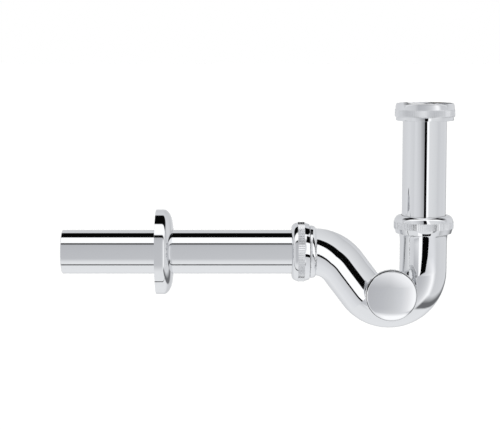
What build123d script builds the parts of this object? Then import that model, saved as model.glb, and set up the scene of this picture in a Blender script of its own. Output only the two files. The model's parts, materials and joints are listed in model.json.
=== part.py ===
import os
from math import cos, pi, radians, sin

from build123d import *

# Bidet trap: a bent brass waterway with a dip tube, a wall tube and a screwed cleaning port.
# The origin is on the dip tube's axis, in the plane where the bidet's waste seats on the washer.
# The waste enters from above, the wall is towards -X and the cleaning cap faces -Y.

# Angles
quarter_turn = 90.0

# Straight tubes
tube_diameter = 32.0
tube_wall = 1.0
tube_end_chamfer = 0.4
inlet_tube_length = 94.5
inlet_flange_width = 2.9
inlet_flange_thickness = 1.5
union_washer_thickness = 2.5
outlet_tube_length = 181.4
outlet_tube_insertion = 8.9

# Bent waterway
bend_clearance = 0.3
bend_wall = 0.9
inlet_socket_drop = 79.9
inlet_leg_length = 36.3
trap_bend_radius = 25.0
slant_angle = 53.0
slant_length = 22.8
return_bend_radius = 27.0
outlet_leg_length = 11.65

# Sockets and slip joints
seal_pocket_depth = 3.8
seal_section = 1.4
seal_snug_gap = 0.05
seal_proud = 0.4
slide_ring_thickness = 1.8
slide_ring_width = 2.2
socket_wall = 0.95
thread_gap = 0.4
slip_gap = 0.35
nut_stop_gap = 0.4
inlet_flare_length = 5.6
outlet_collar_height = 2.0
outlet_collar_band = 1.2
outlet_collar_shoulder = 3.0

# Nuts
nut_wall = 2.6
knurl_depth = 0.35
knurl_teeth = 96
slip_nut_length = 13.0
slip_nut_floor = 2.5
slip_nut_crown = 1.2
slip_nut_shoulder = 4.6
slip_nut_knurl_length = 4.8
slip_nut_taper = 1.2
union_thread_gap = 0.576
union_thread_length = 5.6
union_thread_start = 0.3
union_mouth_chamfer = 0.6
union_rim_width = 0.25
union_relief = 0.5
union_floor = 2.0
union_lip_length = 2.7
union_lip_inset = 0.5
union_knurl_length = 5.4

# Rosette
rosette_radius = 31.0
rosette_rim_height = 5.6
rosette_depth = 12.0
rosette_lip_length = 3.4
rosette_sheet = 0.8
rosette_lip_corner = 1.5
wall_tube_reach = 68.8

# Cleaning port
port_rise = 10.0
port_radius = 12.8
port_thread_depth = 9.5
port_chamber_radius = 11.0
boss_root_radius = 13.0
boss_neck_radius = 16.4
boss_neck_length = 19.4
boss_flange_margin = 0.8
boss_flange_thickness = 2.4
boss_edge_round = 0.4
cap_radius = 18.0
cap_rim_thickness = 1.9
cap_dome_rise = 3.0
cap_edge_round = 0.9
cap_spigot_gap = 0.3
cap_spigot_length = 8.0
cap_spigot_wall = 2.4
cap_seal_thickness = 1.0
cap_seal_proud = 0.4

# Radii that follow from the tubes
tube_radius = tube_diameter / 2
tube_bore = tube_radius - tube_wall
bend_bore = tube_radius + bend_clearance
bend_radius = bend_bore + bend_wall
slip_bore = tube_radius + slip_gap
seal_bore = tube_radius + seal_snug_gap
seal_radius = seal_bore + seal_section
seal_pocket_radius = seal_radius + seal_snug_gap
socket_radius = seal_pocket_radius + socket_wall
slip_nut_bore = socket_radius + thread_gap
nut_body_radius = slip_nut_bore + nut_wall
nut_radius = nut_body_radius + knurl_depth
inlet_flange_radius = tube_radius + inlet_flange_width
union_thread_radius = inlet_flange_radius + union_thread_gap

# Places along a slip joint, measured outwards from the socket's mouth
ring_seat = seal_proud
nut_seat = ring_seat + slide_ring_thickness
nut_face = nut_seat + slip_nut_floor
nut_end = nut_face - slip_nut_length
socket_end = nut_end - nut_stop_gap

# Centreline of the waterway: round the trap, up the slant and over to the wall
slant = radians(slant_angle)
trap_arc_height = -inlet_socket_drop - inlet_leg_length
slant_start = (-trap_bend_radius * (1 + sin(slant)), trap_arc_height - trap_bend_radius * cos(slant))
slant_end = (slant_start[0] - slant_length * cos(slant), slant_start[1] + slant_length * sin(slant))
return_centre = (
    slant_end[0] - return_bend_radius * sin(slant),
    slant_end[1] - return_bend_radius * cos(slant),
)
outlet_height = return_centre[1] + return_bend_radius
outlet_mouth = return_centre[0] - outlet_leg_length

with BuildLine(Plane.XZ) as centreline:
    CenterArc((-trap_bend_radius, trap_arc_height), trap_bend_radius, 0, -quarter_turn - slant_angle)
    Line(slant_start, slant_end)
    CenterArc(return_centre, return_bend_radius, quarter_turn - slant_angle, slant_angle)

# Section planes of the turned pieces: local X is the radius and local Y points out of the joint
front = (0, -1, 0)
union_plane = Plane((0, 0, 0), x_dir=(1, 0, 0), z_dir=front)
inlet_plane = Plane((0, 0, -inlet_socket_drop), x_dir=(1, 0, 0), z_dir=front)
outlet_plane = Plane((outlet_mouth, 0, outlet_height), x_dir=(0, 0, 1), z_dir=front)
wall_end = outlet_mouth + outlet_tube_insertion - outlet_tube_length
wall_plane = Plane((wall_end + wall_tube_reach, 0, outlet_height), x_dir=(0, 0, -1), z_dir=front)
port_height = trap_arc_height - trap_bend_radius + port_rise
port_plane = Plane((-trap_bend_radius, 0, port_height), x_dir=(1, 0, 0), z_dir=(0, 0, -1))


def turning_axis(plane):
    return Axis(plane.origin, plane.y_dir)


def turned_ring(plane, inner, outer, low, high):
    with BuildPart() as ring:
        with BuildSketch(plane):
            with Locations(((inner + outer) / 2, (low + high) / 2)):
                Rectangle(outer - inner, high - low)
        revolve(axis=turning_axis(plane))
    return ring.part


def knurl_outline():
    step = pi / knurl_teeth
    radii = [nut_radius, nut_body_radius]
    return [(radii[i % 2] * cos(i * step), radii[i % 2] * sin(i * step)) for i in range(2 * knurl_teeth)]


def knurl_plane(plane, start):
    return Plane(plane.origin + plane.y_dir * start, x_dir=plane.x_dir, z_dir=plane.y_dir)


def slip_nut(plane):
    knurl_start = nut_face - slip_nut_shoulder - slip_nut_knurl_length
    crown_radius = slip_bore + slip_nut_crown
    shoulder_low = nut_face - slip_nut_shoulder
    with BuildPart() as nut:
        with BuildSketch(plane):
            with BuildLine():
                Polyline((crown_radius, nut_face), (slip_bore, nut_face), (slip_bore, nut_end))
                Polyline(
                    (slip_bore, nut_end),
                    (nut_body_radius - slip_nut_taper, nut_end),
                    (nut_body_radius, knurl_start),
                    (nut_body_radius, shoulder_low),
                )
                EllipticalCenterArc(
                    (crown_radius, shoulder_low),
                    nut_body_radius - crown_radius,
                    slip_nut_shoulder,
                    start_angle=0,
                    arc_size=quarter_turn,
                )
            make_face()
        revolve(axis=turning_axis(plane))
        with BuildSketch(knurl_plane(plane, knurl_start)):
            with BuildLine():
                Polyline(*knurl_outline(), close=True)
            make_face()
            Circle(slip_nut_bore, mode=Mode.SUBTRACT)
        extrude(amount=slip_nut_knurl_length)
        with BuildSketch(plane):
            with BuildLine():
                Polyline(
                    (slip_bore, nut_seat),
                    (slip_nut_bore, nut_seat),
                    (slip_nut_bore, nut_end),
                    (slip_bore, nut_end),
                    close=True,
                )
            make_face()
        revolve(axis=turning_axis(plane), mode=Mode.SUBTRACT)
    return nut.part


def slip_joint(side, plane):
    nut = slip_nut(plane)
    ring = turned_ring(plane, slip_bore, slip_bore + slide_ring_width, ring_seat, nut_seat)
    seal = turned_ring(plane, seal_bore, seal_radius, -seal_pocket_depth, seal_proud)
    pieces = {"slip_nut": nut, "slide_ring": ring, "seal_ring": seal}
    for name, piece in pieces.items():
        piece.label = f"{side}_{name}"
    return list(pieces.values())


# The bent waterway, one casting with both sockets and the cleaning boss
boss_face = boss_neck_length + boss_flange_thickness
boss_flange_radius = cap_radius + boss_flange_margin
arc_plane = Plane((0, 0, trap_arc_height), z_dir=(0, 0, -1))
with BuildPart() as trap_bend:
    with BuildSketch(arc_plane):
        Circle(bend_radius)
    sweep(path=centreline.line)
    # Inlet leg and socket, opening like a trumpet
    with BuildSketch(inlet_plane):
        with BuildLine():
            Polyline(
                (bend_radius, socket_end - inlet_flare_length),
                (bend_radius, -inlet_leg_length),
                (0, -inlet_leg_length),
                (0, 0),
                (socket_radius, 0),
                (socket_radius, socket_end),
            )
            EllipticalCenterArc(
                (socket_radius, socket_end - inlet_flare_length),
                socket_radius - bend_radius,
                inlet_flare_length,
                start_angle=quarter_turn,
                arc_size=quarter_turn,
            )
        make_face()
    revolve(axis=turning_axis(inlet_plane))
    # Outlet leg and socket, with a rounded collar behind its nut
    collar_low = socket_end - outlet_collar_band
    collar_radius = bend_radius + outlet_collar_height
    with BuildSketch(outlet_plane):
        with BuildLine():
            Polyline(
                (bend_radius, collar_low - outlet_collar_shoulder),
                (bend_radius, -outlet_leg_length),
                (0, -outlet_leg_length),
                (0, 0),
                (socket_radius, 0),
                (socket_radius, socket_end),
                (collar_radius, socket_end),
                (collar_radius, collar_low),
            )
            EllipticalCenterArc(
                (bend_radius, collar_low),
                outlet_collar_height,
                outlet_collar_shoulder,
                start_angle=-quarter_turn,
                arc_size=quarter_turn,
            )
        make_face()
    revolve(axis=turning_axis(outlet_plane))
    # Boss of the cleaning port, a cone with a rounded back and a flange
    with BuildSketch(port_plane) as boss_section:
        with BuildLine():
            CenterArc((0, 0), boss_root_radius, -quarter_turn, quarter_turn)
            Polyline(
                (boss_root_radius, 0),
                (boss_neck_radius, boss_neck_length),
                (boss_flange_radius, boss_neck_length),
                (boss_flange_radius, boss_face),
                (0, boss_face),
                (0, -boss_root_radius),
            )
        make_face()
        fillet(boss_section.vertices().group_by(Axis.X)[-1], boss_edge_round)
    revolve(axis=turning_axis(port_plane))
    # Waterway, seal pockets and cleaning port
    with BuildSketch(arc_plane):
        Circle(bend_bore)
    sweep(path=centreline.line, mode=Mode.SUBTRACT)
    for mouth_plane, leg_length in ((inlet_plane, inlet_leg_length), (outlet_plane, outlet_leg_length)):
        with BuildSketch(mouth_plane):
            with BuildLine():
                Polyline(
                    (0, 0),
                    (seal_pocket_radius, 0),
                    (seal_pocket_radius, -seal_pocket_depth),
                    (bend_bore, -seal_pocket_depth),
                    (bend_bore, -leg_length),
                    (0, -leg_length),
                    close=True,
                )
            make_face()
        revolve(axis=turning_axis(mouth_plane), mode=Mode.SUBTRACT)
    with BuildSketch(port_plane):
        with BuildLine():
            CenterArc((0, 0), port_chamber_radius, -quarter_turn, quarter_turn)
            Polyline(
                (port_chamber_radius, 0),
                (port_chamber_radius, boss_face - port_thread_depth),
                (port_radius, boss_face - port_thread_depth),
                (port_radius, boss_face),
                (0, boss_face),
                (0, -port_chamber_radius),
            )
        make_face()
    revolve(axis=turning_axis(port_plane), mode=Mode.SUBTRACT)

# Dip tube with its rolled flange
flange_top = -union_washer_thickness
flange_seat = flange_top - inlet_flange_thickness
with BuildPart() as inlet_tube:
    with BuildSketch(union_plane):
        with BuildLine():
            Polyline(
                (tube_bore, flange_top),
                (inlet_flange_radius, flange_top),
                (inlet_flange_radius, flange_seat),
                (tube_radius, flange_seat),
                (tube_radius, flange_top - inlet_tube_length),
                (tube_bore, flange_top - inlet_tube_length),
                close=True,
            )
        make_face()
    revolve(axis=turning_axis(union_plane))

# Union nut, with its mouth and thread facing up
union_bottom = flange_seat - union_floor
union_thread_end = union_thread_start + union_thread_length
union_top = union_thread_end + union_mouth_chamfer
union_mouth_radius = union_thread_radius + union_mouth_chamfer
union_rim_radius = union_mouth_radius + union_rim_width
union_relief_radius = union_thread_radius + union_relief
union_knurl_low = union_bottom + union_lip_length
union_knurl_high = union_knurl_low + union_knurl_length
with BuildPart() as inlet_union_nut:
    with BuildSketch(union_plane):
        with BuildLine():
            Polyline(
                (union_rim_radius, union_top),
                (union_mouth_radius, union_top),
                (union_thread_radius, union_thread_end),
                (union_thread_radius, union_thread_start),
                (union_relief_radius, union_thread_start),
                (union_relief_radius, flange_seat),
                (slip_bore, flange_seat),
                (slip_bore, union_bottom),
                (nut_body_radius - union_lip_inset, union_bottom),
                (nut_body_radius - union_lip_inset, union_knurl_low),
                (nut_body_radius, union_knurl_low),
                (nut_body_radius, union_knurl_high),
            )
            EllipticalCenterArc(
                (union_rim_radius, union_knurl_high),
                nut_body_radius - union_rim_radius,
                union_top - union_knurl_high,
                start_angle=0,
                arc_size=quarter_turn,
            )
        make_face()
    revolve(axis=turning_axis(union_plane))
    with BuildSketch(knurl_plane(union_plane, union_knurl_low)):
        with BuildLine():
            Polyline(*knurl_outline(), close=True)
        make_face()
        Circle(union_relief_radius, mode=Mode.SUBTRACT)
    extrude(amount=union_knurl_length)

# Wall tube
with BuildPart() as outlet_tube:
    with BuildSketch(Plane((wall_end, 0, outlet_height), z_dir=(1, 0, 0))):
        Circle(tube_radius)
        Circle(tube_bore, mode=Mode.SUBTRACT)
    extrude(amount=outlet_tube_length)
    chamfer(outlet_tube.edges().filter_by(GeomType.CIRCLE).group_by(SortBy.RADIUS)[-1], tube_end_chamfer)

# Rosette, pressed from sheet to a flat dome, with its back in the wall's plane
dome_foot = slip_bore + rosette_lip_corner
lip_top = rosette_depth - rosette_lip_corner
lip_end = rosette_depth - rosette_lip_length
with BuildPart() as wall_rosette:
    with BuildSketch(wall_plane):
        with BuildLine():
            Line((rosette_radius, 0), (rosette_radius, rosette_rim_height))
            EllipticalCenterArc(
                (dome_foot, rosette_rim_height),
                rosette_radius - dome_foot,
                rosette_depth - rosette_rim_height,
                start_angle=0,
                arc_size=quarter_turn,
            )
            CenterArc((dome_foot, lip_top), rosette_lip_corner, quarter_turn, quarter_turn)
            Polyline(
                (slip_bore, lip_top),
                (slip_bore, lip_end),
                (slip_bore + rosette_sheet, lip_end),
                (slip_bore + rosette_sheet, lip_top),
            )
            CenterArc((dome_foot, lip_top), rosette_lip_corner - rosette_sheet, quarter_turn, quarter_turn)
            EllipticalCenterArc(
                (dome_foot, rosette_rim_height),
                rosette_radius - rosette_sheet - dome_foot,
                rosette_depth - rosette_sheet - rosette_rim_height,
                start_angle=0,
                arc_size=quarter_turn,
            )
            Polyline(
                (rosette_radius - rosette_sheet, rosette_rim_height),
                (rosette_radius - rosette_sheet, 0),
                (rosette_radius, 0),
            )
        make_face()
    revolve(axis=turning_axis(wall_plane))

# Cleaning cap, a smooth dome with a hollow threaded spigot
cap_seat = boss_face + cap_seal_thickness
cap_rim_face = cap_seat + cap_rim_thickness
cap_spigot_radius = port_radius - cap_spigot_gap
cap_spigot_bore = cap_spigot_radius - cap_spigot_wall
with BuildPart() as cleaning_cap:
    with BuildSketch(port_plane) as cap_section:
        with BuildLine():
            Polyline(
                (0, cap_rim_face + cap_dome_rise),
                (0, cap_seat),
                (cap_spigot_bore, cap_seat),
                (cap_spigot_bore, cap_seat - cap_spigot_length),
                (cap_spigot_radius, cap_seat - cap_spigot_length),
                (cap_spigot_radius, cap_seat),
                (cap_radius, cap_seat),
                (cap_radius, cap_rim_face),
            )
            TangentArc((0, cap_rim_face + cap_dome_rise), (cap_radius, cap_rim_face), tangent=(1, 0))
        make_face()
        fillet(cap_section.vertices().group_by(Axis.X)[-1].sort_by(Axis.Y)[-1], cap_edge_round)
    revolve(axis=turning_axis(port_plane))

pieces = [
    trap_bend.part,
    inlet_tube.part,
    inlet_union_nut.part,
    turned_ring(union_plane, tube_bore, inlet_flange_radius, flange_top, 0),
    outlet_tube.part,
    wall_rosette.part,
    cleaning_cap.part,
    turned_ring(port_plane, port_radius, cap_radius + cap_seal_proud, boss_face, cap_seat),
]
names = [
    "trap_bend",
    "inlet_tube",
    "inlet_union_nut",
    "inlet_union_washer",
    "outlet_tube",
    "wall_rosette",
    "cleaning_cap",
    "cleaning_cap_seal",
]
for piece, name in zip(pieces, names):
    piece.label = name
pieces += slip_joint("inlet", inlet_plane)
pieces += slip_joint("outlet", outlet_plane)

os.makedirs("parts", exist_ok=True)
for piece in pieces:
    export_step(piece, f"parts/{piece.label}.step")
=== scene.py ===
import json
import math

import bpy
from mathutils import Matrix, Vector


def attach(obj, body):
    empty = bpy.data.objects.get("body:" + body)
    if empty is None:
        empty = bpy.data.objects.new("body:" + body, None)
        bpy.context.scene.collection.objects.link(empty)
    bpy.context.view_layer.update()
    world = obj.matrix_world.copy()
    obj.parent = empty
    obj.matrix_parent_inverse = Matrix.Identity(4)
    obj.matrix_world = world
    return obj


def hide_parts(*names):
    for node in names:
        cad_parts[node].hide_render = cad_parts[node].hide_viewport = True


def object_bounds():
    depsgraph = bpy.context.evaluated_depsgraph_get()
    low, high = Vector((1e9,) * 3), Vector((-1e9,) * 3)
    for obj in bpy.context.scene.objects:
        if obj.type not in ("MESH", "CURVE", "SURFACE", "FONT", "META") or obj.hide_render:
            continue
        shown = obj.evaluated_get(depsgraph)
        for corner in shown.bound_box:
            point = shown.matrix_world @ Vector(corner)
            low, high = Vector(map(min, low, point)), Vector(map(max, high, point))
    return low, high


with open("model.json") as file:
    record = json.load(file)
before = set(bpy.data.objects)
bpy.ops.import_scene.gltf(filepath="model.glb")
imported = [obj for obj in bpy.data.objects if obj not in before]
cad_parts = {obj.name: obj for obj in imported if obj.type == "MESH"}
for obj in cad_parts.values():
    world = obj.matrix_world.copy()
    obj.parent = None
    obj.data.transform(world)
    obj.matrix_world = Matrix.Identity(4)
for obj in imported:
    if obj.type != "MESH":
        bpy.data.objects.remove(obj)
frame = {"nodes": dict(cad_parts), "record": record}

cadBox = [list(corner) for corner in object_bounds()]
nodes = frame["nodes"]
mm = 0.001    # sizes and places below are in millimetres, unless their name ends in M
print("frame loaded:", len(nodes), "nodes")

# Hex colours are written as the eye sees them, and turned to linear light once, here
def hexColour(text):
    channels = [int(text[i:i + 2], 16) / 255 for i in (1, 3, 5)]
    linear = [c / 12.92 if c <= 0.04045 else ((c + 0.055) / 1.055) ** 2.4 for c in channels]
    return (*linear, 1.0)

# Adds one node with its settings, then links or sets its inputs
def addNode(tree, kind, settings=None, **inputs):
    node = tree.nodes.new(kind)
    for name, value in (settings or {}).items():
        setattr(node, name, value)
    for name, value in inputs.items():
        key = int(name[1:]) if name[1:].isdigit() else name.replace("_", " ")
        if isinstance(value, bpy.types.NodeSocket):
            tree.links.new(value, node.inputs[key])
        else:
            node.inputs[key].default_value = value
    return node

def newMaterial(name):
    material = bpy.data.materials.new(name)
    material.use_nodes = True
    tree = material.node_tree
    return material, tree, tree.nodes["Principled BSDF"]

def fillRamp(node, stops):
    ramp = node.color_ramp
    while len(ramp.elements) < len(stops):
        ramp.elements.new(1.0)
    for element, (place, colour) in zip(ramp.elements, stops):
        element.position = place
        element.color = hexColour(colour)

# Noise with blotches of about the given size
def noiseOfSize(tree, sizeMm, detail):
    place = addNode(tree, "ShaderNodeTexCoord").outputs["Object"]
    noise = addNode(tree, "ShaderNodeTexNoise", Vector=place, Scale=1 / (sizeMm * mm), Detail=detail)
    return noise.outputs["Fac"]

# Chrome plate over buffed brass: a cool bright mirror with the faint haze of the wheel
chromePlate = {
    "colour": "#dcdddf",
    "clearRoughness": 0.015,
    "hazyRoughness": 0.05,
    "hazeSizeMm": 14.0,
    "hazeSpread": (0.3, 0.7),
    "markSizeMm": 0.4,       # coarser than real wheel marks, so that they show at all
    "markDepthMm": 0.0005,
    "markStrength": 0.2,
    "edgeSamples": 6,
}

def polishedChrome(name, edgeMm, addedRoughness=0.0):
    s = chromePlate
    material, tree, shader = newMaterial(name)
    haze = noiseOfSize(tree, s["hazeSizeMm"], 3.0)
    low, high = s["hazeSpread"]
    rough = addNode(tree, "ShaderNodeMapRange", Value=haze, From_Min=low, From_Max=high,
                    To_Min=s["clearRoughness"] + addedRoughness, To_Max=s["hazyRoughness"] + addedRoughness)
    marks = noiseOfSize(tree, s["markSizeMm"], 2.0)
    edge = addNode(tree, "ShaderNodeBevel", {"samples": s["edgeSamples"]}, Radius=edgeMm * mm)
    bump = addNode(tree, "ShaderNodeBump", Height=marks, Strength=s["markStrength"],
                   Distance=s["markDepthMm"] * mm, Normal=edge.outputs["Normal"])
    shader.inputs["Base Color"].default_value = hexColour(s["colour"])
    shader.inputs["Metallic"].default_value = 1.0
    tree.links.new(rough.outputs["Result"], shader.inputs["Roughness"])
    tree.links.new(bump.outputs["Normal"], shader.inputs["Normal"])
    return material

# Bare brass inside the waterway: yellow, dull, streaked by drawing and by flux
boreBrass = {"tones": [(0.35, "#b59a63"), (0.65, "#dcc38d")], "stainSizeMm": 5.0, "roughness": 0.48}

def drawnBrass():
    s = boreBrass
    material, tree, shader = newMaterial("brass_bare_drawn")
    tone = addNode(tree, "ShaderNodeValToRGB", Fac=noiseOfSize(tree, s["stainSizeMm"], 5.0))
    fillRamp(tone, s["tones"])
    tree.links.new(tone.outputs["Color"], shader.inputs["Base Color"])
    shader.inputs["Metallic"].default_value = 1.0
    shader.inputs["Roughness"].default_value = s["roughness"]
    return material

# Moulded EPDM rubber: near black and dull, with a dusty bloom
sealRubber = {
    "tones": [(0.35, "#161616"), (0.75, "#2d2d2c")],
    "bloomSizeMm": 2.5,
    "roughness": 0.62,
    "grainDepthMm": 0.05,
    "grainStrength": 0.4,
}

def mouldedRubber():
    s = sealRubber
    material, tree, shader = newMaterial("epdm_rubber_moulded")
    bloom = noiseOfSize(tree, s["bloomSizeMm"], 4.0)
    tone = addNode(tree, "ShaderNodeValToRGB", Fac=bloom)
    fillRamp(tone, s["tones"])
    bump = addNode(tree, "ShaderNodeBump", Height=bloom, Strength=s["grainStrength"],
                   Distance=s["grainDepthMm"] * mm)
    tree.links.new(tone.outputs["Color"], shader.inputs["Base Color"])
    tree.links.new(bump.outputs["Normal"], shader.inputs["Normal"])
    shader.inputs["Roughness"].default_value = s["roughness"]
    return material

# Moulded polyethylene: milky white and a little waxy
ringPlastic = {"tones": [(0.3, "#c4c4bd"), (0.7, "#dededa")], "flowSizeMm": 6.0, "roughness": 0.42}

def mouldedPolyethylene():
    s = ringPlastic
    material, tree, shader = newMaterial("polyethylene_moulded")
    tone = addNode(tree, "ShaderNodeValToRGB", Fac=noiseOfSize(tree, s["flowSizeMm"], 2.0))
    fillRamp(tone, s["tones"])
    tree.links.new(tone.outputs["Color"], shader.inputs["Base Color"])
    shader.inputs["Roughness"].default_value = s["roughness"]
    return material

turnedChrome = polishedChrome("chrome_plated_brass_turned", edgeMm=0.2)
castChrome = polishedChrome("chrome_plated_brass_cast", edgeMm=1.2)    # casting corners are buffed rounder
# Rolled teeth can't be buffed, so they stay duller
knurledChrome = polishedChrome("chrome_plated_brass_knurled", edgeMm=0.1, addedRoughness=0.2)
bareBrass = drawnBrass()
finishes = {"chrome_plate": turnedChrome, "rubber": mouldedRubber(), "ring_plastic": mouldedPolyethylene()}
for row in frame["record"]["subparts"]:
    mesh = nodes[row["node"]].data
    mesh.materials.clear()
    mesh.materials.append(castChrome if row["node"] == "trap_bend" else finishes[row["material_slot"]])
print("finishes set:", len(bpy.data.materials))

# Centre of the waterway, from the inlet down round the trap and over to the wall
waterway = {
    "inletTop": 0.0,
    "legFoot": -116.2,
    "trapRadius": 25.0,
    "slantDegrees": 53.0,
    "slantLength": 22.8,
    "returnRadius": 27.0,
    "outletHeight": -102.285,
    "wallEnd": -264.4,
    "legSteps": 80,
    "trapSteps": 60,
    "slantSteps": 16,
    "returnSteps": 30,
    "wallStep": 1.5,
    "boreRadius": 17.6,    # faces nearer the centre than this, and facing it, are unplated
    "boreFacing": 0.6,
}

def waterwayPoints():
    s = waterway
    slant = math.radians(s["slantDegrees"])
    points = []
    for i in range(s["legSteps"] + 1):
        points.append((0.0, s["inletTop"] + (s["legFoot"] - s["inletTop"]) * i / s["legSteps"]))
    for i in range(1, s["trapSteps"] + 1):
        angle = -(math.pi / 2 + slant) * i / s["trapSteps"]
        x = s["trapRadius"] * (math.cos(angle) - 1)
        points.append((x, s["legFoot"] + s["trapRadius"] * math.sin(angle)))
    footX, footZ = points[-1]
    for i in range(1, s["slantSteps"] + 1):
        along = s["slantLength"] * i / s["slantSteps"]
        points.append((footX - along * math.cos(slant), footZ + along * math.sin(slant)))
    headX, headZ = points[-1]
    middleX = headX - s["returnRadius"] * math.sin(slant)
    middleZ = headZ - s["returnRadius"] * math.cos(slant)
    for i in range(1, s["returnSteps"] + 1):
        angle = math.pi / 2 - slant + slant * i / s["returnSteps"]
        x = middleX + s["returnRadius"] * math.cos(angle)
        points.append((x, middleZ + s["returnRadius"] * math.sin(angle)))
    lastX, lastZ = points[-1]
    count = int((lastX - s["wallEnd"]) / s["wallStep"])
    points += [(lastX - s["wallStep"] * i, lastZ) for i in range(1, count + 1)]
    return [Vector((x, 0, z)) * mm for x, z in points]

def bareBores(names):
    s = waterway
    centres = waterwayPoints()
    for name in names:
        mesh = nodes[name].data
        mesh.materials.append(bareBrass)
        for face in mesh.polygons:
            nearest = min(centres, key=lambda point: (point - face.center).length_squared)
            towards = nearest - face.center
            facing = towards.normalized().dot(face.normal)
            if towards.length < s["boreRadius"] * mm and facing > s["boreFacing"]:
                face.material_index = 1

bareBores(["inlet_tube", "outlet_tube", "trap_bend"])
print("bores left bare")

# Slip nuts: the knurled band lies between the teeth's root and crest, and the inside is left bare
knurl = {"root": 21.4, "crest": 21.85, "bandTilt": 0.1, "insideFacing": -0.3}

def finishSlipNut(name, axisPoint, along):
    mesh = nodes[name].data
    mesh.materials.append(knurledChrome)
    mesh.materials.append(bareBrass)
    for face in mesh.polygons:
        radial = face.center - axisPoint
        radial -= along * radial.dot(along)
        onBand = knurl["root"] * mm < radial.length < knurl["crest"] * mm
        if face.normal.dot(radial.normalized()) < knurl["insideFacing"]:
            face.material_index = 2
        elif onBand and abs(face.normal.dot(along)) < knurl["bandTilt"]:
            face.material_index = 1

finishSlipNut("inlet_slip_nut", Vector((0, 0, 0)), Vector((0, 0, 1)))
finishSlipNut("outlet_slip_nut", Vector((0, 0, waterway["outletHeight"])) * mm, Vector((1, 0, 0)))
print("slip nuts finished")

sharpDegrees = 25    # edges that turn more than this stay crisp

# Builds a mesh from rings of radius and place round an axis
# A loop joins its last ring to its first, a plug fills both ends, and an open one is left as it is
def ringMesh(name, centre, along, across, rings, ends):
    third = along.cross(across)
    columns = len(rings[0])
    points = []
    for ring in rings:
        for j, (radius, place) in enumerate(ring):
            angle = 2 * math.pi * j / columns
            side = across * math.cos(angle) + third * math.sin(angle)
            points.append((centre + (side * radius + along * place) * mm)[:])
    faces = []
    for i in range(len(rings) if ends == "loop" else len(rings) - 1):
        here, there = i * columns, (i + 1) % len(rings) * columns
        for j in range(columns):
            k = (j + 1) % columns
            faces.append((here + j, here + k, there + k, there + j))
    if ends == "plug":
        last = len(points) - columns
        faces += [tuple(range(columns))[::-1], tuple(range(last, last + columns))]
    mesh = bpy.data.meshes.new(name)
    mesh.from_pydata(points, [], faces)
    mesh.shade_smooth()
    mesh.set_sharp_from_angle(angle=math.radians(sharpDegrees))
    piece = bpy.data.objects.new(name, mesh)
    bpy.context.collection.objects.link(piece)
    return piece

def plainRings(section, columns):
    return [[point] * columns for point in section]

# From 0 at the low and high ends to 1 between them, over the length of the fade
def windowed(value, low, high, fade):
    return max(0.0, min(1.0, (value - low) / fade, (high - value) / fade))

# Union nut with its real pipe thread, 11 turns to the inch, and rolled knurling; lists are radius and height
unionNut = {
    "columns": 384,
    "foot": [(16.35, -5.9), (16.45, -6.0), (20.55, -6.0), (20.83, -5.88), (20.95, -5.6), (20.95, -3.35),
             (21.0, -3.3), (21.4, -3.3)],
    "knurlLow": -3.3,
    "knurlHigh": 2.1,
    "knurlRadius": 21.45,
    "knurlSteps": 12,
    "teeth": 96,
    "toothDepth": 0.35,
    "toothRunOut": 0.35,
    "shoulderSteps": 16,
    "lipRadius": 20.326,
    "lipHeight": 6.5,
    "mouth": [(20.15, 6.5), (20.05, 6.46)],
    "threadRadius": 19.476,
    "threadLow": 0.3,
    "threadHigh": 5.9,
    "threadRunOut": 0.9,
    "mouthRunOut": 0.5,      # the groove still has some depth where it leaves the mouth
    "pitch": 2.309,
    "grooveDepth": 1.35,
    "rowStep": 0.16,
    "seat": [(19.976, 0.25), (19.976, -3.9), (19.876, -4.0), (16.45, -4.0), (16.35, -4.1)],
}

def knurlRings(s):
    rings = []
    for i in range(s["knurlSteps"] + 1):
        place = s["knurlLow"] + (s["knurlHigh"] - s["knurlLow"]) * i / s["knurlSteps"]
        depth = s["toothDepth"] * windowed(place, s["knurlLow"], s["knurlHigh"], s["toothRunOut"])
        ring = []
        for j in range(s["columns"]):
            share = j * s["teeth"] / s["columns"] % 1
            ring.append((s["knurlRadius"] + depth * (1 - abs(2 * share - 1)), place))
        rings.append(ring)
    return rings

def shoulderRings(s):
    section = []
    for i in range(1, s["shoulderSteps"] + 1):
        angle = math.pi / 2 * i / s["shoulderSteps"]
        radius = s["lipRadius"] + (s["knurlRadius"] - s["lipRadius"]) * math.cos(angle)
        section.append((radius, s["knurlHigh"] + (s["lipHeight"] - s["knurlHigh"]) * math.sin(angle)))
    return plainRings(section, s["columns"])

def pipeThreadRings(s):
    length = s["threadHigh"] - s["threadLow"]
    count = int(length / s["rowStep"])
    rings = []
    for i in range(count + 1):
        place = s["threadHigh"] - length * i / count
        fade = windowed(place, s["threadLow"], s["threadHigh"] + s["mouthRunOut"], s["threadRunOut"])
        ring = []
        for j in range(s["columns"]):
            wave = 0.5 - 0.5 * math.cos(2 * math.pi * (place / s["pitch"] - j / s["columns"]))
            ring.append((s["threadRadius"] + s["grooveDepth"] * fade * wave, place))
        rings.append(ring)
    return rings

def buildUnionNut():
    s = unionNut
    rings = plainRings(s["foot"], s["columns"]) + knurlRings(s) + shoulderRings(s)
    rings += plainRings(s["mouth"], s["columns"]) + pipeThreadRings(s) + plainRings(s["seat"], s["columns"])
    nut = ringMesh("unionNut", Vector((0, 0, 0)), Vector((0, 0, 1)), Vector((1, 0, 0)), rings[::-1], "loop")
    nut.data.materials.append(turnedChrome)
    nut.data.materials.append(knurledChrome)
    for face in nut.data.polygons:
        x, y, z = face.center / mm
        if math.hypot(x, y) > knurl["root"] and s["knurlLow"] < z < s["knurlHigh"]:
            face.material_index = 1
    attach(nut, "union_nut")
    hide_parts("inlet_union_nut")

buildUnionNut()
print("union nut threaded")

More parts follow.
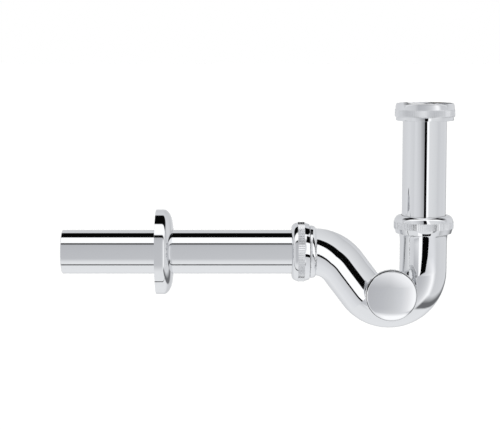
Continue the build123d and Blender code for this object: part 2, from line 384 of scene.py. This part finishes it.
# Cleaning cap: a dome with a rounded rim and a hollow spigot; lists are radius and place along its axis
cleaningCap = {
    "columns": 160,
    "centre": (-25.0, 0.0, -131.2),
    "domeTop": 27.7,
    "domeRadius": 55.5,
    "domeEdge": 17.38,
    "domeSteps": 24,
    "tipRadius": 0.05,
    "rim": [(17.55, 24.83), (17.74, 24.69), (17.88, 24.5), (17.97, 24.29), (18.0, 24.05), (18.0, 23.05),
            (17.92, 22.86), (17.75, 22.8)],
    "spigot": [(12.6, 22.8), (12.5, 22.7), (12.5, 15.2), (12.38, 14.9), (12.1, 14.8), (10.3, 14.8),
               (10.1, 15.0), (10.1, 22.6), (9.9, 22.8), (0.05, 22.8)],
}

def buildCap():
    s = cleaningCap
    radii = [s["tipRadius"]] + [s["domeEdge"] * i / s["domeSteps"] for i in range(1, s["domeSteps"] + 1)]
    ballCentre = s["domeTop"] - s["domeRadius"]
    dome = [(r, ballCentre + math.sqrt(s["domeRadius"] ** 2 - r * r)) for r in radii]
    rings = plainRings(dome + s["rim"] + s["spigot"], s["columns"])
    centre = Vector(s["centre"]) * mm
    cap = ringMesh("cleaningCap", centre, Vector((0, -1, 0)), Vector((1, 0, 0)), rings[::-1], "plug")
    cap.data.materials.append(turnedChrome)
    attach(cap, "cap")
    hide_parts("cleaning_cap")

buildCap()
print("cap turned")

# Turned threads that show when a nut or the cap is unscrewed; each ridge winds on its own body
threads = [
    {"name": "inletSocketThread", "body": "trap", "finish": castChrome, "centre": (0, 0, -79.9),
     "along": (0, 0, 1), "across": (1, 0, 0), "root": 18.44, "ridge": 0.36, "low": -8.0, "high": -0.5},
    {"name": "outletSocketThread", "body": "trap", "finish": castChrome,
     "centre": (-91.9, 0, waterway["outletHeight"]),
     "along": (-1, 0, 0), "across": (0, 0, 1), "root": 18.44, "ridge": 0.36, "low": -8.0, "high": -0.5},
    {"name": "capThread", "body": "cap", "finish": turnedChrome, "centre": cleaningCap["centre"],
     "along": (0, -1, 0), "across": (1, 0, 0), "root": 12.49, "ridge": 0.24, "low": 15.2, "high": 21.6},
]
threadCut = {"pitch": 1.5, "runOut": 0.9, "sunk": 0.05, "columns": 120, "rowStep": 0.15}

def buildThread(s):
    cut = threadCut
    length = s["high"] - s["low"]
    rows = int(length / cut["rowStep"])
    rings = []
    for i in range(rows + 1):
        place = s["low"] + length * i / rows
        rise = (s["ridge"] + cut["sunk"]) * windowed(place, s["low"], s["high"], cut["runOut"])
        ring = []
        for j in range(cut["columns"]):
            wave = 0.5 + 0.5 * math.cos(2 * math.pi * (place / cut["pitch"] - j / cut["columns"]))
            ring.append((s["root"] - cut["sunk"] + rise * wave, place))
        rings.append(ring)
    centre = Vector(s["centre"]) * mm
    thread = ringMesh(s["name"], centre, Vector(s["along"]), Vector(s["across"]), rings, "open")
    thread.data.materials.append(s["finish"])
    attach(thread, s["body"])

for settings in threads:
    buildThread(settings)
print("threads cut:", len(threads))

# White studio: a lit tent which the chrome shows, with tones by the angle to the side and by the angle up
studio = {
    "fillStrength": 0.75,    # light from all round on dull surfaces
    "tentRadiusM": 25.0,
    "strength": 1.39,        # lifts the tent by what chrome swallows
    "sides": [(-180, "#bebfc1"), (-150, "#c8c9cb"), (-100, "#d4d5d7"), (-70, "#d0d1d3"), (-46, "#c8c9cb"),
              (-32, "#aeafb2"), (-10, "#b6b7ba"), (5, "#c0c1c3"), (20, "#d0d1d3"), (30, "#e4e4e5"),
              (40, "#ffffff"), (46, "#ffffff"), (60, "#c8c9cb"), (130, "#cfd0d2"), (165, "#b8b9bb"),
              (180, "#bebfc1")],
    "heights": [(-180, "#d2d3d5"), (-110, "#e0e1e2"), (-50, "#dedfe0"), (0, "#c2c3c5"), (45, "#b0b1b4"),
                (46, "#0a0a0a"), (53, "#0a0a0a"),      # dark edge of the softbox
                (54, "#ffffff"), (87, "#ffffff"),      # softbox overhead
                (89, "#060606"), (124, "#060606"),     # black flag behind it
                (126, "#cbccce"), (180, "#d2d3d5")],
    "sidesShare": 0.85,
    "sidesUntil": (0.45, 0.75),    # the sides' tones give way to the heights' between these slopes
}

# Painted dark reflection: a darker band in the tent's lit cloth, low on the right, which the chrome shows as
# a dark patch; a band across one direction, kept to the right and off the front
paintedDarkBand = {
    "tone": "#68696b",
    "across": (0.68, -0.17, 0.71),
    "band": [(-0.11, "#000000"), (-0.06, "#ffffff"), (0.05, "#ffffff"), (0.21, "#000000")],
    "side": (0.35, 0.5),
    "front": (0.7, 0.55),
}

# Plain white behind everything, for the camera and for what metal and glass show
def whiteWorld():
    world = bpy.data.worlds.new("studio")
    bpy.context.scene.world = world
    world.use_nodes = True
    tree = world.node_tree
    tree.nodes.clear()
    ray = addNode(tree, "ShaderNodeLightPath").outputs
    shown = ray["Is Camera Ray"]
    for kind in ("Is Glossy Ray", "Is Transmission Ray"):
        shown = addNode(tree, "ShaderNodeMath", {"operation": "MAXIMUM"}, i0=shown, i1=ray[kind]).outputs[0]
    fill = addNode(tree, "ShaderNodeBackground", Color=(1, 1, 1, 1), Strength=studio["fillStrength"])
    white = addNode(tree, "ShaderNodeBackground", Color=(1, 1, 1, 1), Strength=1.0)
    seen = addNode(tree, "ShaderNodeMixShader", i0=shown, i1=fill.outputs[0], i2=white.outputs[0])
    addNode(tree, "ShaderNodeOutputWorld", Surface=seen.outputs[0])

whiteWorld()

# Cards and tent are lit from within, and only chrome shows them
def litCard(card, tone, tree, shader):
    shader.inputs["Base Color"].default_value = (0, 0, 0, 1)
    shader.inputs["Specular IOR Level"].default_value = 0.0
    tree.links.new(tone, shader.inputs["Emission Color"])
    shader.inputs["Emission Strength"].default_value = studio["strength"]
    card.visible_camera = False
    card.visible_diffuse = False
    card.visible_transmission = False
    card.visible_shadow = False

# Tone of the tent's cloth, from the direction's parts to the right, to the front and up
def clothTone(tree, right, front, up):
    s = studio
    tones = []
    for turned, stops in ((up, s["heights"]), (right, s["sides"])):
        turn = addNode(tree, "ShaderNodeMath", {"operation": "ARCTAN2"}, i0=turned, i1=front).outputs[0]
        share = addNode(tree, "ShaderNodeMapRange", Value=turn, From_Min=-math.pi, From_Max=math.pi)
        ramp = addNode(tree, "ShaderNodeValToRGB", Fac=share.outputs["Result"])
        fillRamp(ramp, [((degrees + 180) / 360, colour) for degrees, colour in stops])
        tones.append(ramp.outputs["Color"])
    low, high = s["sidesUntil"]
    slope = addNode(tree, "ShaderNodeMath", {"operation": "ABSOLUTE"}, i0=up).outputs[0]
    level = addNode(tree, "ShaderNodeMapRange", {"interpolation_type": "SMOOTHSTEP"}, Value=slope,
                    From_Min=low, From_Max=high, To_Min=s["sidesShare"], To_Max=0.0).outputs["Result"]
    cloth = addNode(tree, "ShaderNodeMix", {"data_type": "RGBA"}, i0=level, i6=tones[0], i7=tones[1])
    return cloth.outputs[2]

# How far the painted dark band darkens a direction of the tent, from 0 to 1, for the painted dark reflection
def paintedBandShare(tree, way, right, front):
    s = paintedDarkBand
    across = Vector(s["across"]).normalized()
    rampMiddle = 0.5
    offset = addNode(tree, "ShaderNodeVectorMath", {"operation": "DOT_PRODUCT"}, i0=way, i1=across)
    lifted = addNode(tree, "ShaderNodeMath", {"operation": "ADD"}, i0=offset.outputs["Value"], i1=rampMiddle)
    band = addNode(tree, "ShaderNodeValToRGB", Fac=lifted.outputs[0])
    fillRamp(band, [(place + rampMiddle, colour) for place, colour in s["band"]])
    shade = band.outputs["Color"]
    for part, (start, end) in ((right, s["side"]), (front, s["front"])):
        reach = addNode(tree, "ShaderNodeMapRange", Value=part, From_Min=start, From_Max=end)
        limited = addNode(tree, "ShaderNodeMath", {"operation": "MULTIPLY"}, i0=shade,
                          i1=reach.outputs["Result"])
        shade = limited.outputs[0]
    return shade

def buildTent():
    bpy.ops.mesh.primitive_ico_sphere_add(subdivisions=4, radius=studio["tentRadiusM"])
    tent = bpy.context.object
    tent.name = "tent"
    material, tree, shader = newMaterial("tent_cloth_lit")
    tent.data.materials.append(material)
    place = addNode(tree, "ShaderNodeTexCoord").outputs["Object"]
    way = addNode(tree, "ShaderNodeVectorMath", {"operation": "NORMALIZE"}, i0=place).outputs["Vector"]
    right, back, up = addNode(tree, "ShaderNodeSeparateXYZ", Vector=way).outputs[:3]
    front = addNode(tree, "ShaderNodeMath", {"operation": "MULTIPLY"}, i0=back, i1=-1.0).outputs[0]
    # The cloth's tone is mixed towards the painted dark band's tone, a painted dark reflection on the chrome
    tone = addNode(tree, "ShaderNodeMix", {"data_type": "RGBA"}, i0=paintedBandShare(tree, way, right, front),
                   i6=clothTone(tree, right, front, up), i7=hexColour(paintedDarkBand["tone"]))
    litCard(tent, tone.outputs[2], tree, shader)

buildTent()

# White paper floor, matt, so that it holds only a soft shadow
paperFloor = {"dropM": 0.2, "sizeM": 60.0, "colour": "#f6f6f5", "roughness": 0.9}

def paleFloor():
    s = paperFloor
    bpy.ops.mesh.primitive_plane_add(size=s["sizeM"], location=(0, 0, cadBox[0][2] - s["dropM"]))
    floor = bpy.context.object
    floor.name = "floor"
    floor.visible_glossy = False
    material, tree, shader = newMaterial("paper_white_matt")
    shader.inputs["Base Color"].default_value = hexColour(s["colour"])
    shader.inputs["Roughness"].default_value = s["roughness"]
    shader.inputs["Specular IOR Level"].default_value = 0.0
    floor.data.materials.append(material)

paleFloor()

# The softbox overhead also lights the floor, so that it is white with a soft shadow
softbox = {"strength": 1.3, "spreadDegrees": 34.0, "elevationDegrees": 71.0}

def softboxLight():
    s = softbox
    data = bpy.data.lights.new("softbox", "SUN")
    data.energy = s["strength"]
    data.angle = math.radians(s["spreadDegrees"])
    lamp = bpy.data.objects.new("softbox", data)
    lamp.visible_glossy = False    # the tent's white band already stands for it on chrome
    lamp.rotation_euler = (math.radians(90 - s["elevationDegrees"]), 0, 0)
    bpy.context.collection.objects.link(lamp)

softboxLight()

camera = {
    "sensorMm": 36.0,
    "lensPx": 1500.0,
    "pictureWidthPx": 500.0,
    "distanceM": 1.097,
    "elevationDegrees": 6.5,
    "targetM": (-0.127, 0.0, -0.0752),
}
cameraRise = math.radians(camera["elevationDegrees"])
cameraWay = Vector((0, -math.cos(cameraRise), math.sin(cameraRise)))
cameraPlace = Vector(camera["targetM"]) + cameraWay * camera["distanceM"]

# Cards close to the object, which only its chrome shows; each corner carries its own tone
def buildCards(name, strips):
    points, faces, tones = [], [], []
    for near, far in strips:
        for corners in zip(near, near[1:], far[1:], far):
            start = len(points)
            points += [point[:] for point, tone in corners]
            tones += [tone for point, tone in corners]
            faces.append((start, start + 1, start + 2, start + 3))
    mesh = bpy.data.meshes.new(name)
    mesh.from_pydata(points, [], faces)
    colours = mesh.color_attributes.new("tone", "FLOAT_COLOR", "POINT")
    for i, tone in enumerate(tones):
        colours.data[i].color = hexColour(tone)
    card = bpy.data.objects.new(name, mesh)
    bpy.context.collection.objects.link(card)
    material, tree, shader = newMaterial("card_lit")
    mesh.materials.append(material)
    tone = addNode(tree, "ShaderNodeAttribute", {"attribute_name": "tone"})
    litCard(card, tone.outputs["Color"], tree, shader)

# Upright cards: how far in front they stand, the heights of their rows, and their edges from left to right
# An edge has a place and a tone, and each is one value or a list with a value for each row
tubeRows = [-8, -91]
legRows = [-90, -104.5, -115.9, -118.6]
uprightCards = [
    # Dip tube: grey, black, white and grey stripes
    {"y": -60, "rows": tubeRows,
     "edges": [(-90, "#d2d3d5"), (-62, "#d4d5d7"), (-30, ["#c2c3c5", "#cbccce"]),
               (-17, ["#a4a5a7", "#bcbdbf"]), (-10, ["#929396", "#b4b5b7"]),
               ([-7.2, -6.4], ["#8c8d90", "#b0b1b3"])]},
    {"y": -60, "rows": tubeRows, "edges": [([-7.2, -6.4], "#040404"), (4.6, "#040404")]},
    {"y": -60, "rows": tubeRows,
     "edges": [(5.4, "#ffffff"), (12.5, "#ffffff"), (18, "#d8d9da"), (120, "#cacbcd")]},
    # Leg: white, black and grey stripes, which run out to the left at the foot
    {"y": -24, "rows": legRows,
     "edges": [([-8.8, -9.2, -9.3, -9.4], "#ffffff"), ([-4.0, -4.6, -6.1, -7.6], "#ffffff")]},
    {"y": -24, "rows": legRows,
     "edges": [([-3.9, -4.5, -6.0, -7.5], "#040404"), ([5.2, 3.5, 0.3, -7.4], "#040404")]},
    {"y": -24, "rows": legRows,
     "edges": [([5.3, 3.6, 0.4, -7.3], ["#dadbdd", "#d6d7d9", "#c8c9cb", "#c0c1c3"]),
               (12.8, ["#d6d7d9", "#dcdddf", "#f0f0f1", "#f8f8f8"]), (24, "#cbccce")]},
    # Wall tube: the thin dark line low along it
    {"y": -28, "rows": [-136.2, -147.7], "edges": [(-290, "#0c0c0c"), (-86, "#0c0c0c")]},
    # Cap: white below, and pale above
    {"y": -60, "rows": [-168, -176, -192],
     "edges": [(-62, "#d0d1d3"), (-34, ["#d0d1d3", "#fcfcfc", "#fcfcfc"]),
               (5, ["#d0d1d3", "#fcfcfc", "#fcfcfc"]), (20, "#d4d5d7")]},
    {"y": -60, "rows": [-92, -98, -122],
     "edges": [(-68, ["#d2d3d5", "#d0d1d3", "#aeafb2"]), (-25, ["#e6e6e7", "#e4e4e5", "#bcbdbf"]),
               (18, ["#fcfcfc", "#fcfcfc", "#f0f0f1"])]},
]

def forEachRow(value, rows):
    return value if isinstance(value, list) else [value] * len(rows)

def buildUprightCards():
    strips = []
    for s in uprightCards:
        columns = []
        for place, tone in s["edges"]:
            corners = zip(forEachRow(place, s["rows"]), s["rows"], forEachRow(tone, s["rows"]))
            columns.append([(Vector((x, s["y"], z)) * mm, shade) for x, z, shade in corners])
        strips += zip(columns, columns[1:])
    buildCards("uprightCards", strips)

buildUprightCards()

# Along the S bend: bands by the angle, in degrees, at which its chrome throws the camera's look
# The angles change over from those at the collar to those at the slant
bendCards = {
    "radii": (31.0, 23.5),    # close in beside the cap, so that the cap doesn't show them
    "tube": 17.2,
    "startX": -81.5,
    "endX": -41.0,
    "topZ": -90.0,            # leaves out the dip tube
    "collar": [170, 65, 63, 37, 35, -8, -9, -19, -20, -60, -110],
    "slant": [120, 43, 41, 11, 9, -28, -29, -36, -37, -70, -110],
    "tones": ["#babbbd", "#dedfe0", "#050505", "#050505", "#ffffff", "#ffffff", "#050505", "#050505",
              "#c8c9cb", "#dadbdd", "#e2e3e4"],
    "collarUntilX": -78.0,
    "slantFromX": -66.0,
}

def buildBendCards():
    s = bendCards
    centres = [p for p in waterwayPoints() if p.z < s["topZ"] * mm and s["startX"] <= p.x / mm <= s["endX"]]
    rings = []
    for before, here, after in zip(centres, centres[1:], centres[2:]):
        tangent = (after - before).normalized()
        look = (cameraPlace - here).normalized()
        ahead = (look - tangent * look.dot(tangent)).normalized()
        upward = tangent.cross(ahead)
        if upward.z < 0:
            upward = -upward
        change = (here.x / mm - s["collarUntilX"]) / (s["slantFromX"] - s["collarUntilX"])
        mix = max(0.0, min(1.0, change))
        radius = s["radii"][0] + (s["radii"][1] - s["radii"][0]) * mix
        ring = []
        for atCollar, atSlant, tone in zip(s["collar"], s["slant"], s["tones"]):
            thrown = math.radians(atCollar + (atSlant - atCollar) * mix)
            angle = thrown - math.asin(s["tube"] * math.sin(thrown / 2) / radius)
            ring.append((here + (ahead * math.cos(angle) + upward * math.sin(angle)) * radius * mm, tone))
        rings.append(ring)
    buildCards("bendCards", list(zip(rings, rings[1:])))

buildBendCards()

def photoCamera():
    s = camera
    data = bpy.data.cameras.new("photoCamera")
    data.sensor_width = s["sensorMm"]
    data.lens = s["sensorMm"] * s["lensPx"] / s["pictureWidthPx"]
    eye = bpy.data.objects.new("photoCamera", data)
    bpy.context.collection.objects.link(eye)
    eye.location = cameraPlace
    eye.rotation_mode = "QUATERNION"
    eye.rotation_quaternion = (-cameraWay).to_track_quat("-Z", "Y")
    bpy.context.scene.camera = eye

photoCamera()
bpy.context.scene.view_settings.view_transform = "Standard"
print("studio and camera ready")
